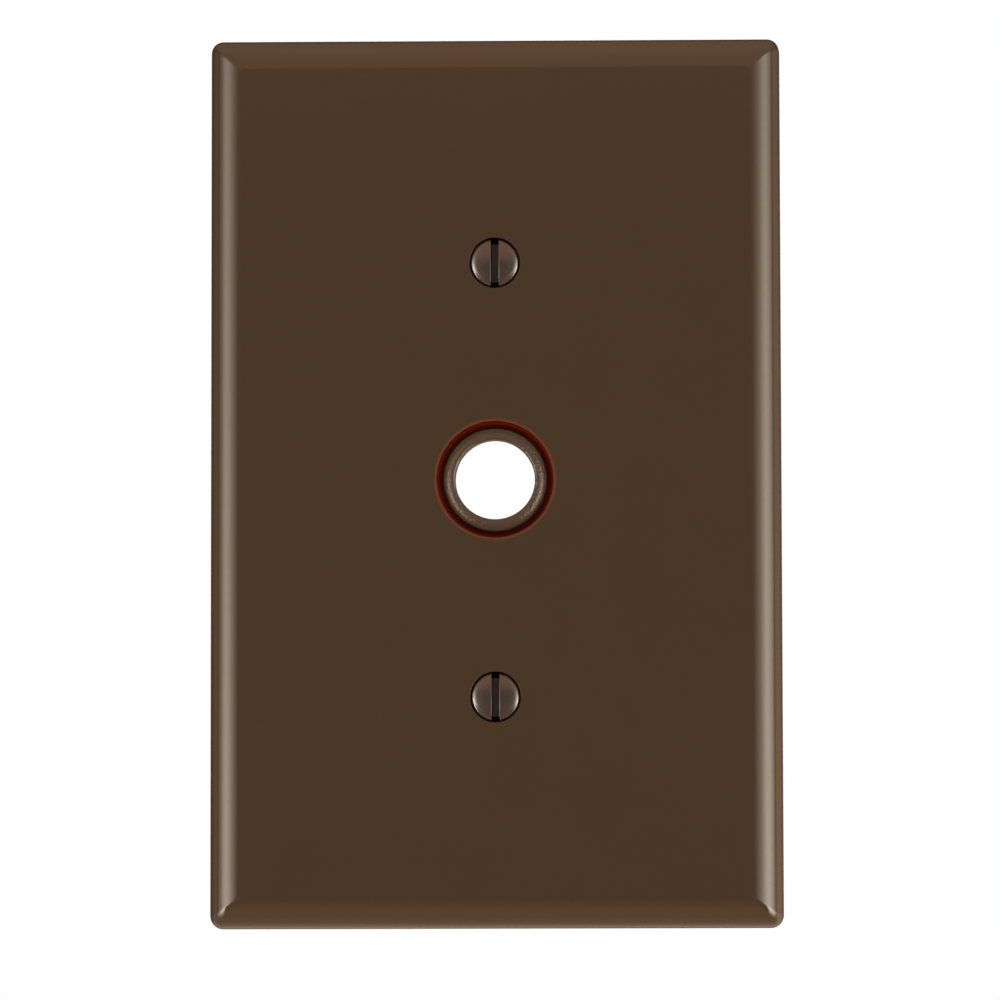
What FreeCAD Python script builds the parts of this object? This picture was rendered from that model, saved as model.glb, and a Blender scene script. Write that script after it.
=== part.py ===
import FreeCAD
import Part
import math
import os

import Sketcher

# Wall plate for a cable or telephone outlet, with its two mounting screws. Millimetres.
# The plate stands as it does on a wall: the front looks along -Y and +Z is up. The origin is on the wall
# plane, on the axis of the cable hole, so every depth below is measured from the wall towards the front.

SHEET = "Sizes"

# Driving sizes of the moulded plate
PLATE_SIZES = {
    "plate_width": 79.5,
    "plate_height": 123.95,
    "plate_depth": 6.5,
    "front_wall": 2.5,
    "wall_lean": 0.12,
    "outline_round": 1.8,
    "roll_width": 4.4,
    "roll_depth": 4.4,
    "face_round": 0.6,
    "rim_width": 2.2,
    "hollow_lean": 0.4,
    "hollow_round": 2.4,
    "floor_round": 1.0,
}

# Driving sizes of the bosses and ribs on the back, with the room that they leave for the mounting strap
BACK_SIZES = {
    "strap_room": 1.2,
    "boss_wall": 2.5,
    "boss_lean": 1.5,
    "rib_width": 1.2,
    "rib_step": 0.9,
    "collar_gap": 0.6,
    "collar_width": 1.4,
    "root_overlap": 0.3,
}

# Driving sizes of the cable hole and the break-out ring around it
HOLE_SIZES = {
    "hole_radius": 5.5,
    "lip_round": 0.4,
    "bead_drop": 0.35,
    "bead_round": 1.3,
    "web_width": 0.9,
    "web_thickness": 0.4,
    "mouth_round": 0.12,
}

# Driving sizes of the oval-head machine screws and of the holes that they seat in
SCREW_SIZES = {
    "screw_spacing": 60.325,
    "thread_radius": 1.75,
    "neck_step": 0.25,
    "hole_clearance": 0.25,
    "head_radius": 3.3,
    "head_land": 0.1,
    "head_margin": 0.2,
    "head_angle": 82.0,
    "sink_land": 0.25,
    "crown_radius": 20.7,
    "crown_flat": 2.6,
    "crown_edge": 1.5,
    "slot_width": 1.1,
    "slot_depth": 1.25,
    "screw_length": 12.7,
    "point_chamfer": 0.45,
    "neck_over": 0.3,
    "seat_clearance": 0.02,
}

# Sizes that follow from the driving ones, as formulas of the same sheet
DERIVED_SIZES = {
    "side_wall": "plate_depth - roll_depth",
    "hollow_depth": "plate_depth - front_wall",
    "bead_radius": "hole_radius + lip_round + bead_round",
    "mouth_radius": "bead_radius + web_width",
    "bead_top": "plate_depth - bead_drop",
    "web_front": "hollow_depth + web_thickness",
    "neck_radius": "thread_radius - neck_step",
    "bolt_radius": "thread_radius + hole_clearance",
    "sink_radius": "head_radius + head_margin",
    "head_slope": "tan(head_angle / 2 * 1 deg)",
    "head_drop": "sink_land + head_margin / head_slope - head_land - seat_clearance",
    "boss_radius": "bolt_radius + boss_wall",
    "collar_inner": "mouth_radius + collar_gap",
    "collar_outer": "collar_inner + collar_width",
    "head_place": "plate_depth - head_drop",
    "neck_length": "head_place - strap_room + neck_over",
    "crown_share": "sqrt(1 - (crown_flat / crown_radius) ^ 2)",
    "edge_reach": "head_radius - crown_flat * (1 - crown_edge / crown_radius)",
    "edge_drop": "crown_edge * crown_share - sqrt(crown_edge ^ 2 - edge_reach ^ 2)",
    "crown_height": "edge_drop + crown_radius * (1 - crown_share)",
}

# Sections of the quarter-round roll along the front edge, in equal turns from the side wall to the face
ROLL_STEPS = 12
ROLL_ANGLES = [90 * step / ROLL_STEPS for step in range(ROLL_STEPS + 1)]

# How fast the corner radius shrinks along the roll: the power of the turn's cosine
MITRE_POWER = 3

# How far a cut runs past the face that it opens in
BEYOND = 1.0

# The numbers of a sketch's axes and origin, and of an edge's ends and centre
X_AXIS = -1
Y_AXIS = -2
ORIGIN = -1
START = 1
END = 2
CENTRE = 3


def fill_sheet(doc):
    """Puts the driving sizes and the formulas into the spreadsheet, one row each."""
    sheet = doc.addObject("Spreadsheet::Sheet", SHEET)
    driving = {**PLATE_SIZES, **BACK_SIZES, **HOLE_SIZES, **SCREW_SIZES}
    row = 1
    for alias, size in driving.items():
        sheet.set(f"A{row}", alias)
        sheet.set(f"B{row}", str(size))
        sheet.setAlias(f"B{row}", alias)
        row += 1
    for alias, formula in DERIVED_SIZES.items():
        sheet.set(f"A{row}", alias)
        sheet.set(f"B{row}", "=" + formula)
        sheet.setAlias(f"B{row}", alias)
        row += 1
    doc.recompute()
    return sheet


def cell(alias):
    """The expression that reads one cell of the sheet."""
    return f"{SHEET}.{alias}"


def number(sketch, expression):
    """The present value of an expression."""
    found = sketch.evalExpression(expression)
    return float(getattr(found, "Value", found))


def new_body(doc, label):
    """Starts the body of one piece."""
    body = doc.addObject("PartDesign::Body", label)
    body.Label = label
    return body


def plane_of(body, role):
    """One of the body's own origin planes."""
    for feature in body.Origin.OriginFeatures:
        if feature.Role == role:
            return feature
    raise ValueError(f"{body.Label} has no plane {role}")


def new_sketch(body, name, role, offset):
    """Adds a sketch on an origin plane, moved along the plane's normal by an expression."""
    sketch = body.newObject("Sketcher::SketchObject", name)
    sketch.AttachmentSupport = [(plane_of(body, role), "")]
    sketch.MapMode = "FlatFace"
    sketch.setExpression(".AttachmentOffset.Base.z", offset)
    return sketch


def constrain(sketch, kind, *where, size=None):
    """Adds one constraint, bound to an expression where it has a size."""
    if size is None:
        sketch.addConstraint(Sketcher.Constraint(kind, *where))
        return
    index = sketch.addConstraint(Sketcher.Constraint(kind, *where, number(sketch, size)))
    sketch.setExpression(f"Constraints[{index}]", size)


def place_point(sketch, edge, end, across, along):
    """Ties one end of an edge to its two coordinates, each an expression."""
    if across == "0":
        constrain(sketch, "PointOnObject", edge, end, Y_AXIS)
    else:
        constrain(sketch, "DistanceX", ORIGIN, START, edge, end, size=across)
    if along == "0":
        constrain(sketch, "PointOnObject", edge, end, X_AXIS)
    else:
        constrain(sketch, "DistanceY", ORIGIN, START, edge, end, size=along)


def arc_between(first, last, radius, turn):
    """The short arc from first to last, which turns left (1) or right (-1) on its way."""
    chord = last - first
    rise = math.sqrt(max(radius**2 - (chord.Length / 2) ** 2, 0))
    left = FreeCAD.Vector(-chord.y, chord.x, 0).normalize()
    centre = first + chord * 0.5 + left * rise * turn
    circle = Part.Circle(centre, FreeCAD.Vector(0, 0, 1), radius)
    ends = (first, last) if turn > 0 else (last, first)
    angles = [math.atan2(p.y - centre.y, p.x - centre.x) for p in ends]
    if angles[1] < angles[0]:
        angles[1] += 2 * math.pi
    return Part.ArcOfCircle(circle, angles[0], angles[1])


def closed_outline(sketch, points, arcs):
    """Draws a closed outline through points, which are pairs of expressions. A side is straight unless arcs
    gives, by the side's number, its radius as an expression and its turn, 1 for left and -1 for right."""
    places = [FreeCAD.Vector(number(sketch, x), number(sketch, y), 0) for x, y in points]
    ends = []
    for side, place in enumerate(places):
        following = places[(side + 1) % len(places)]
        if side in arcs:
            radius, turn = arcs[side]
            sketch.addGeometry(arc_between(place, following, number(sketch, radius), turn))
            ends.append((START, END) if turn > 0 else (END, START))
        else:
            sketch.addGeometry(Part.LineSegment(place, following))
            ends.append((START, END))
    for side, (across, along) in enumerate(points):
        before = side - 1 if side else len(points) - 1
        constrain(sketch, "Coincident", before, ends[before][1], side, ends[side][0])
        place_point(sketch, side, ends[side][0], across, along)
    for side, (radius, turn) in arcs.items():
        constrain(sketch, "Radius", side, size=radius)


def rounded_rectangle(body, name, width, height, radius, offset):
    """A rounded rectangle about the hole axis, facing the front, at an offset from the wall plane."""
    sketch = new_sketch(body, name, "XZ_Plane", offset)
    corner = number(sketch, radius)
    across = number(sketch, width) / 2
    up = number(sketch, height) / 2
    normal = FreeCAD.Vector(0, 0, 1)
    turns = [(1, -1), (1, 1), (-1, 1), (-1, -1)]
    for quarter, (side, level) in enumerate(turns):
        centre = FreeCAD.Vector(side * (across - corner), level * (up - corner), 0)
        start = (quarter - 1) * math.pi / 2
        arc = Part.ArcOfCircle(Part.Circle(centre, normal, corner), start, start + math.pi / 2)
        sketch.addGeometry(arc)
    for quarter in range(len(turns)):
        first = sketch.Geometry[quarter].EndPoint
        last = sketch.Geometry[(quarter + 1) % 4].StartPoint
        sketch.addGeometry(Part.LineSegment(first, last))
    for quarter in range(len(turns)):
        line = quarter + 4
        constrain(sketch, "Tangent", quarter, END, line, START)
        constrain(sketch, "Tangent", line, END, (quarter + 1) % 4, START)
        constrain(sketch, "Vertical" if quarter % 2 == 0 else "Horizontal", line)
        if quarter:
            constrain(sketch, "Equal", 0, quarter)
    constrain(sketch, "Symmetric", 0, CENTRE, 2, CENTRE, ORIGIN, START)
    constrain(sketch, "DistanceX", 6, START, 4, START, size=width)
    constrain(sketch, "DistanceY", 7, START, 5, START, size=height)
    constrain(sketch, "Radius", 0, size=radius)
    return sketch


def circles(body, name, offset, radii, heights):
    """Circles that face the front, one for each radius and height, all on the plate's centre line."""
    sketch = new_sketch(body, name, "XZ_Plane", offset)
    for index, (radius, height) in enumerate(zip(radii, heights)):
        centre = FreeCAD.Vector(0, number(sketch, height), 0)
        normal = FreeCAD.Vector(0, 0, 1)
        sketch.addGeometry(Part.Circle(centre, normal, number(sketch, radius)))
        place_point(sketch, index, CENTRE, "0", height)
        constrain(sketch, "Radius", index, size=radius)
    return sketch


def rectangles(body, name, offset, boxes):
    """Plain rectangles that face the front. Each box gives left, right, low and high as expressions."""
    sketch = new_sketch(body, name, "XZ_Plane", offset)
    for box in boxes:
        left, right, low, high = [number(sketch, side) for side in box]
        corners = [(left, low), (right, low), (right, high), (left, high)]
        base = sketch.GeometryCount
        for side in range(4):
            first = FreeCAD.Vector(*corners[side], 0)
            last = FreeCAD.Vector(*corners[(side + 1) % 4], 0)
            sketch.addGeometry(Part.LineSegment(first, last))
        for side in range(4):
            constrain(sketch, "Coincident", base + side, END, base + (side + 1) % 4, START)
            constrain(sketch, "Vertical" if side % 2 else "Horizontal", base + side)
        place_point(sketch, base, START, box[0], box[2])
        place_point(sketch, base + 2, START, box[1], box[3])
    return sketch


def pad(body, name, sketch, length, lean=None):
    """Pads a sketch towards the front, with draft where a lean in degrees is given."""
    feature = body.newObject("PartDesign::Pad", name)
    feature.Profile = sketch
    feature.setExpression("Length", length)
    if lean:
        feature.setExpression("TaperAngle", lean)
    return feature


def turned(body, kind, name, sketch):
    """Turns a profile about the vertical axis of its sketch. The kind is Revolution or Groove."""
    feature = body.newObject(f"PartDesign::{kind}", name)
    feature.Profile = sketch
    feature.ReferenceAxis = (sketch, ["V_Axis"])
    feature.Angle = 360
    return feature


def rolled_shell(body):
    """The outer form: a leaning side wall, then a quarter-round roll up to the flat face. The corner radius
    shrinks along the roll, from the outline's to the face's, which makes the mitre at each corner."""
    outline = rounded_rectangle(
        body, "rim_outline", cell("plate_width"), cell("plate_height"), cell("outline_round"), "0"
    )
    lean = f"-atan({cell('wall_lean')} / {cell('side_wall')})"
    pad(body, "side_wall", outline, cell("side_wall"), lean)
    start_round = f"({cell('outline_round')} - {cell('wall_lean')})"
    roll_sections = []
    for step, angle in enumerate(ROLL_ANGLES):
        share = f"(1 - cos({angle} deg))"
        inset = f"({cell('wall_lean')} + {cell('roll_width')} * {share})"
        excess = f"({start_round} - {cell('face_round')}) * cos({angle} deg) ^ {MITRE_POWER}"
        section = rounded_rectangle(
            body,
            f"roll_{step}",
            f"{cell('plate_width')} - 2 * {inset}",
            f"{cell('plate_height')} - 2 * {inset}",
            f"{cell('face_round')} + {excess}",
            f"{cell('side_wall')} + {cell('roll_depth')} * sin({angle} deg)",
        )
        roll_sections.append(section)
    roll = body.newObject("PartDesign::AdditiveLoft", "front_roll")
    roll.Profile = roll_sections[0]
    roll.Sections = roll_sections[1:]


def hollow_back(doc, body):
    """The hollow behind the front wall. Its sides lean for the mould and its floor edge is rounded."""
    rim = cell("rim_width")
    lean = cell("hollow_lean")
    mouth = rounded_rectangle(
        body,
        "hollow_mouth",
        f"{cell('plate_width')} - 2 * {rim}",
        f"{cell('plate_height')} - 2 * {rim}",
        cell("hollow_round"),
        "0",
    )
    hollow = body.newObject("PartDesign::Pocket", "hollow")
    hollow.Profile = mouth
    hollow.Reversed = True
    hollow.setExpression("Length", cell("hollow_depth"))
    hollow.setExpression("TaperAngle", f"-atan({lean} / {cell('hollow_depth')})")
    doc.recompute()
    depth = number(hollow, cell("hollow_depth"))
    edges = []
    for index, edge in enumerate(hollow.Shape.Edges):
        box = edge.BoundBox
        if abs(box.YMin + depth) < 1e-4 and abs(box.YMax + depth) < 1e-4:
            edges.append(f"Edge{index + 1}")
    fillet = body.newObject("PartDesign::Fillet", "hollow_fillet")
    fillet.Base = (hollow, edges)
    fillet.setExpression("Radius", cell("floor_round"))


def bosses_and_ribs(body):
    """What stands on the back: a boss round each screw hole, a collar round the break-out ring and ribs that
    carry both to the rim. All stay short of the wall plane, so that the mounting strap has room."""
    up = f"{cell('screw_spacing')} / 2"
    down = f"-{cell('screw_spacing')} / 2"
    reach = f"{cell('hollow_depth')} + {cell('root_overlap')}"
    boss = circles(body, "boss_circles", cell("strap_room"), [cell("boss_radius")] * 2, [up, down])
    pad(body, "screw_bosses", boss, f"{reach} - {cell('strap_room')}", cell("boss_lean"))

    rib_back = f"({cell('strap_room')} + {cell('rib_step')})"
    side = f"({cell('plate_width')} / 2 - {cell('rim_width')} / 2)"
    end = f"({cell('plate_height')} / 2 - {cell('rim_width')} / 2)"
    half = f"{cell('rib_width')} / 2"
    inner = f"({cell('collar_inner')} + {cell('collar_width')} / 2)"
    across = rectangles(
        body,
        "cross_rib_lines",
        rib_back,
        [
            (f"-{side}", side, f"{up} - {half}", f"{up} + {half}"),
            (f"-{side}", side, f"{down} - {half}", f"{down} + {half}"),
        ],
    )
    pad(body, "cross_ribs", across, f"{reach} - {rib_back}")
    along = rectangles(
        body,
        "spine_rib_lines",
        rib_back,
        [
            (f"-{half}", half, inner, end),
            (f"-{half}", half, f"-{end}", f"-{inner}"),
        ],
    )
    pad(body, "spine_ribs", along, f"{reach} - {rib_back}")
    ring = circles(
        body, "collar_circles", rib_back, [cell("collar_outer"), cell("collar_inner")], ["0", "0"]
    )
    pad(body, "hole_collar", ring, f"{reach} - {rib_back}")


def screw_holes(body):
    """A clearance hole for each screw, with a countersink at the front that has the head's cone under a
    short straight wall."""
    offset = f"{cell('screw_spacing')} / 2"
    sketch = new_sketch(body, "screw_hole_profile", "XY_Plane", offset)
    front = f"-{cell('plate_depth')}"
    sink = cell("sink_radius")
    bolt = cell("bolt_radius")
    shoulder = f"{front} + {cell('sink_land')}"
    throat = f"{shoulder} + ({sink} - {bolt}) / {cell('head_slope')}"
    points = [
        ("0", f"{front} - {BEYOND}"),
        (sink, f"{front} - {BEYOND}"),
        (sink, shoulder),
        (bolt, throat),
        (bolt, f"{BEYOND}"),
        ("0", f"{BEYOND}"),
    ]
    closed_outline(sketch, points, {})
    groove = turned(body, "Groove", "upper_screw_hole", sketch)
    mirror = body.newObject("PartDesign::Mirrored", "lower_screw_hole")
    mirror.Originals = [groove]
    mirror.MirrorPlane = (plane_of(body, "XY_Plane"), [""])
    body.Tip = mirror


def cable_hole(body):
    """The cable hole and the annular groove around it, turned in one profile. Between them stands the
    break-out ring: a small lip at the hole, then a quarter-round bead that falls to the thin web."""
    sketch = new_sketch(body, "cable_hole_profile", "XY_Plane", "0")
    front = f"-{cell('plate_depth')}"
    hole = cell("hole_radius")
    lip = cell("lip_round")
    mouth = cell("mouth_radius")
    edge = cell("mouth_round")
    bead_top = f"-{cell('bead_top')}"
    web = f"-{cell('web_front')}"
    bead = cell("bead_radius")
    points = [
        ("0", f"{BEYOND}"),
        ("0", f"{front} - {BEYOND}"),
        (f"{mouth} + {edge}", f"{front} - {BEYOND}"),
        (f"{mouth} + {edge}", front),
        (mouth, f"{front} + {edge}"),
        (mouth, web),
        (bead, web),
        (bead, f"{bead_top} + {cell('bead_round')}"),
        (f"{hole} + {lip}", bead_top),
        (hole, f"{bead_top} + {lip}"),
        (hole, f"{BEYOND}"),
    ]
    arcs = {3: (edge, 1), 7: (cell("bead_round"), -1), 8: (lip, -1)}
    closed_outline(sketch, points, arcs)
    turned(body, "Groove", "cable_hole", sketch)


def build_plate(doc):
    """The moulded plate, in the order in which its features depend on each other."""
    body = new_body(doc, "wall_plate")
    rolled_shell(body)
    hollow_back(doc, body)
    bosses_and_ribs(body)
    screw_holes(body)
    cable_hole(body)
    return body


def build_screw(doc, label, height):
    """One oval-head machine screw at rest in its countersink. Its own origin is on its axis, in the plane
    of the head's edge. The thread is plain at its outer radius, and the neck above it clears the hole."""
    body = new_body(doc, label)
    sketch = new_sketch(body, "screw_profile", "XY_Plane", "0")
    head = cell("head_radius")
    neck = cell("neck_radius")
    thread = cell("thread_radius")
    land = cell("head_land")
    step = cell("neck_step")
    chamfer = cell("point_chamfer")
    cone_end = f"{land} + ({head} - {neck}) / {cell('head_slope')}"
    points = [
        ("0", f"-{cell('crown_height')}"),
        ("0", cell("screw_length")),
        (f"{thread} - {chamfer}", cell("screw_length")),
        (thread, f"{cell('screw_length')} - {chamfer}"),
        (thread, f"{cell('neck_length')} + {step}"),
        (neck, cell("neck_length")),
        (neck, cone_end),
        (head, land),
        (head, "0"),
        (cell("crown_flat"), f"-{cell('edge_drop')}"),
    ]
    arcs = {8: (cell("crown_edge"), -1), 9: (cell("crown_radius"), -1)}
    closed_outline(sketch, points, arcs)
    turned(body, "Revolution", "turned_blank", sketch)

    half = f"{cell('slot_width')} / 2"
    reach = f"({head} + {BEYOND})"
    mouth = rectangles(
        body, "slot_lines", f"{cell('crown_height')}", [(f"-{half}", half, f"-{reach}", reach)]
    )
    slot = body.newObject("PartDesign::Pocket", "slot")
    slot.Profile = mouth
    slot.setExpression("Length", cell("slot_depth"))
    body.setExpression(".Placement.Base.y", f"-{cell('head_place')}")
    body.setExpression(".Placement.Base.z", height)
    return body


def check(doc, bodies):
    """Stops if a feature failed or if a piece isn't one valid solid."""
    for item in doc.Objects:
        if "Invalid" in item.State or "Error" in item.State:
            raise RuntimeError(f"{item.Label} failed: {item.State}")
    for body in bodies:
        shape = body.Shape
        if shape.isNull() or not shape.isValid() or len(shape.Solids) != 1:
            raise RuntimeError(f"{body.Label} isn't one valid solid")


def check_cuts(bodies):
    """Stops if a pocket or groove took nothing away."""
    for body in bodies:
        before = None
        for feature in body.Group:
            if not feature.isDerivedFrom("PartDesign::Feature"):
                continue
            volume = feature.Shape.Volume
            cuts = feature.TypeId.split("::")[1] in ("Pocket", "Groove")
            if cuts and volume >= before:
                raise RuntimeError(f"{body.Label}: {feature.Label} cuts nothing")
            before = volume


def main():
    doc = FreeCAD.newDocument("outlet_wall_plate")
    fill_sheet(doc)
    bodies = [
        build_plate(doc),
        build_screw(doc, "upper_screw", f"{cell('screw_spacing')} / 2"),
        build_screw(doc, "lower_screw", f"-{cell('screw_spacing')} / 2"),
    ]
    doc.recompute()
    check(doc, bodies)
    check_cuts(bodies)
    os.makedirs("parts", exist_ok=True)
    for body in bodies:
        body.Shape.exportStep(f"parts/{body.Label}.step")
        box = body.Shape.BoundBox
        print(f"{body.Label}: {body.Shape.Volume:.1f} mm3, {box}")


main()
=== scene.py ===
"""The looks of a brown cable wall plate: a moulding with a break-out ring, two slotted screws, the studio.

Pieces are shaped in millimetres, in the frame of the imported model: the front looks along -Y, +Z is up and
the origin is on the wall plane, on the axis of the cable hole. A depth is measured from the wall forwards.
"""

import logging
import math
from dataclasses import dataclass, field
from enum import Enum
from functools import reduce
from typing import Sequence

import bmesh
import bpy
from mathutils import Matrix, Vector


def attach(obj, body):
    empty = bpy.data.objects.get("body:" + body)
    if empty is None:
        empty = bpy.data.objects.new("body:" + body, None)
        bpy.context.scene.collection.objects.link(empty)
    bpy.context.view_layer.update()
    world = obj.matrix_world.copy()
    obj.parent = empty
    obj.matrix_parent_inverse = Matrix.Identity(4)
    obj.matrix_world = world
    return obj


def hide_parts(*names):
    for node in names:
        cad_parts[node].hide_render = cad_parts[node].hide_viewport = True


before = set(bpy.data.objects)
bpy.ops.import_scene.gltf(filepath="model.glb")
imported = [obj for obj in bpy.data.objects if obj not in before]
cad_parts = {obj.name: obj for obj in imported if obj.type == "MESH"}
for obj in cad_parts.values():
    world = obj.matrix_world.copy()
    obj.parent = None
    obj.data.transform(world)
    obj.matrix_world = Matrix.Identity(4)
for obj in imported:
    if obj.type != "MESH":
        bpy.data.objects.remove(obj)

log = logging.getLogger("wall_plate")

MM = 0.001
BODY = "root"
FRONT_TURN = (math.pi / 2, 0.0, 0.0)
HOME = (0.0, 0.0, 0.0)
# In millimetres: how far a cut reaches past the solid and an added solid into its neighbour, the gap
# between planes that would coincide, the distance at which points merge and the shortest edge that stays.
BEYOND = 1.0
ROOT = 0.3
HAIR = 0.004
WELD = 0.001
SLIVER = 1e-5
SMOOTH_ANGLE = math.radians(30)
NORMAL_WEIGHT = 90
# How many parts the smallest rounds, the fillets and the larger rounds have.
EDGE_STEPS = 4
FILLET_STEPS = 5
ROUND_STEPS = 8


class Joining(Enum):
    """What a boolean modifier does with the second piece."""

    ADD = "UNION"
    CUT = "DIFFERENCE"
    KEEP = "INTERSECT"


class Ends(Enum):
    """How a skin of rings is closed: flat at both ends, or round from the last ring to the first."""

    CAPPED = "capped"
    LOOPED = "looped"


@dataclass(frozen=True)
class Ring:
    """A closed outline that faces the front: a circle, or a rectangle with rounded corners. Millimetres."""

    half_width: float
    half_height: float
    corner: float
    depth: float
    steps: int
    up: float = 0.0

    def draw(self, piece: bpy.types.Object, number: int) -> None:
        """Adds the outline's edges to the mesh in edit mode and marks them with the ring's number.

        Args:
            piece: The object whose mesh is edited.
            number: The ring's number.
        """
        place = (0.0, -self.depth, self.up)
        if self.corner >= max(self.half_width, self.half_height):
            bpy.ops.mesh.primitive_circle_add(
                vertices=self.steps * 4, radius=self.corner, location=place, rotation=FRONT_TURN
            )
            number_selected(piece, number)
            return
        bpy.ops.mesh.primitive_plane_add(size=2.0, location=place, rotation=FRONT_TURN)
        bpy.ops.transform.resize(value=(self.half_width, 1.0, self.half_height), center_override=place)
        bpy.ops.mesh.bevel(
            affect="VERTICES", offset=self.corner, segments=self.steps, profile=0.5, clamp_overlap=False
        )
        number_selected(piece, number)
        bpy.ops.mesh.delete(type="ONLY_FACE")


def circle(radius: float, depth: float, steps: int, up: float = 0.0) -> Ring:
    """A circle on the plate's centre line, with so many edges to a quarter of it."""
    return Ring(radius, radius, radius, depth, steps, up)


def arc(
    centre: Sequence[float], radius: float, start: float, end: float, steps: int
) -> list[tuple[float, float]]:
    """Points of a section along an arc, from one angle in degrees to another, both ends among them."""
    angles = [math.radians(start + (end - start) * step / steps) for step in range(steps + 1)]
    return [(centre[0] + radius * math.cos(a), centre[1] + radius * math.sin(a)) for a in angles]


def select_only(piece: bpy.types.Object) -> None:
    """Deselects everything, then selects one object and makes it the active one.

    Args:
        piece: The object to select.
    """
    bpy.ops.object.select_all(action="DESELECT")
    piece.select_set(True)
    bpy.context.view_layer.objects.active = piece


def begin_mesh(name: str) -> bpy.types.Object:
    """Starts a piece with an empty mesh, in edit mode.

    Args:
        name: The piece's name.

    Returns:
        The new object.
    """
    bpy.ops.object.select_all(action="DESELECT")
    bpy.ops.mesh.primitive_plane_add(size=1.0)
    piece = bpy.context.object
    piece.name = name
    bpy.ops.object.mode_set(mode="EDIT")
    bpy.ops.mesh.select_mode(type="VERT")
    bpy.ops.mesh.delete(type="VERT")
    return piece


def end_mesh(piece: bpy.types.Object) -> None:
    """Turns the normals of a closed mesh outwards and leaves edit mode.

    Args:
        piece: The object whose mesh is edited.
    """
    bpy.ops.mesh.select_all(action="SELECT")
    bpy.ops.mesh.normals_make_consistent(inside=False)
    bpy.ops.object.mode_set(mode="OBJECT")
    number = piece.data.attributes.get("ring_number")
    if number is not None:
        piece.data.attributes.remove(number)


def select_rings(piece: bpy.types.Object, numbers: Sequence[int]) -> None:
    """Selects, in edit mode, the edges that lie within one of the numbered rings.

    Args:
        piece: The object whose mesh is edited.
        numbers: The rings to select.
    """
    bpy.ops.mesh.select_all(action="DESELECT")
    mesh = bmesh.from_edit_mesh(piece.data)
    layer = mesh.verts.layers.int["ring_number"]
    for edge in mesh.edges:
        first, second = (vert[layer] for vert in edge.verts)
        if first == second and first in numbers:
            edge.select_set(True)
    bmesh.update_edit_mesh(piece.data)


def number_selected(piece: bpy.types.Object, number: int) -> None:
    """Gives the selected vertices, which are those of the newest ring, its number.

    Args:
        piece: The object whose mesh is edited.
        number: The ring's number.
    """
    mesh = bmesh.from_edit_mesh(piece.data)
    layer = mesh.verts.layers.int.get("ring_number") or mesh.verts.layers.int.new("ring_number")
    for vert in mesh.verts:
        if vert.select:
            vert[layer] = number
    bmesh.update_edit_mesh(piece.data)


def skin(name: str, rings: Sequence[Ring], ends: Ends = Ends.CAPPED) -> bpy.types.Object:
    """Makes a closed solid whose skin runs from ring to ring.

    Args:
        name: The piece's name.
        rings: Its outlines in order, all with as many edges.
        ends: How the skin is closed.

    Returns:
        The finished object.
    """
    piece = begin_mesh(name)
    bpy.ops.mesh.select_mode(type="EDGE")
    for number, ring in enumerate(rings, start=1):
        ring.draw(piece, number)
    for number in range(1, len(rings)):
        select_rings(piece, (number, number + 1))
        bpy.ops.mesh.bridge_edge_loops()
    if ends is Ends.LOOPED:
        select_rings(piece, (1, len(rings)))
        bpy.ops.mesh.bridge_edge_loops()
    else:
        for number in (1, len(rings)):
            select_rings(piece, (number,))
            bpy.ops.mesh.edge_face_add()
    end_mesh(piece)
    return piece


def join(piece: bpy.types.Object, tool: bpy.types.Object, joining: Joining) -> None:
    """Adds, cuts or intersects one piece with another, which is used up.

    Args:
        piece: The object that stays.
        tool: The object that is used up.
        joining: What is done with it.
    """
    select_only(piece)
    modifier = piece.modifiers.new(joining.name.lower(), "BOOLEAN")
    modifier.operation = joining.value
    modifier.solver = "MANIFOLD"
    modifier.object = tool
    bpy.ops.object.modifier_apply(modifier=modifier.name)
    bpy.data.objects.remove(tool, do_unlink=True)


def finish_surface(piece: bpy.types.Object) -> None:
    """Brings a piece from millimetres to metres, cleans its mesh and gives it smooth normals.

    Args:
        piece: The object to finish.
    """
    select_only(piece)
    bpy.ops.object.mode_set(mode="EDIT")
    bpy.ops.mesh.select_all(action="SELECT")
    bpy.ops.mesh.remove_doubles(threshold=WELD)
    bpy.ops.mesh.dissolve_degenerate(threshold=SLIVER)
    bpy.ops.transform.resize(value=(MM, MM, MM), center_override=HOME)
    bpy.ops.object.mode_set(mode="OBJECT")
    bpy.ops.object.shade_smooth_by_angle(angle=SMOOTH_ANGLE)
    weighted = piece.modifiers.new("face_weighted", "WEIGHTED_NORMAL")
    weighted.keep_sharp = True
    weighted.weight = NORMAL_WEIGHT
    bpy.ops.object.modifier_apply(modifier=weighted.name)


def move_mesh(piece: bpy.types.Object, up: float) -> None:
    """Moves a piece's mesh upwards and leaves its object at the origin.

    Args:
        piece: The object to move.
        up: How far, in metres.
    """
    select_only(piece)
    bpy.ops.transform.translate(value=(0, 0, up))
    bpy.ops.object.transform_apply(location=True, rotation=True, scale=True)


def dress(piece: bpy.types.Object, material: bpy.types.Material) -> None:
    """Gives a piece one material and no other."""
    piece.data.materials.clear()
    piece.data.materials.append(material)


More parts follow.
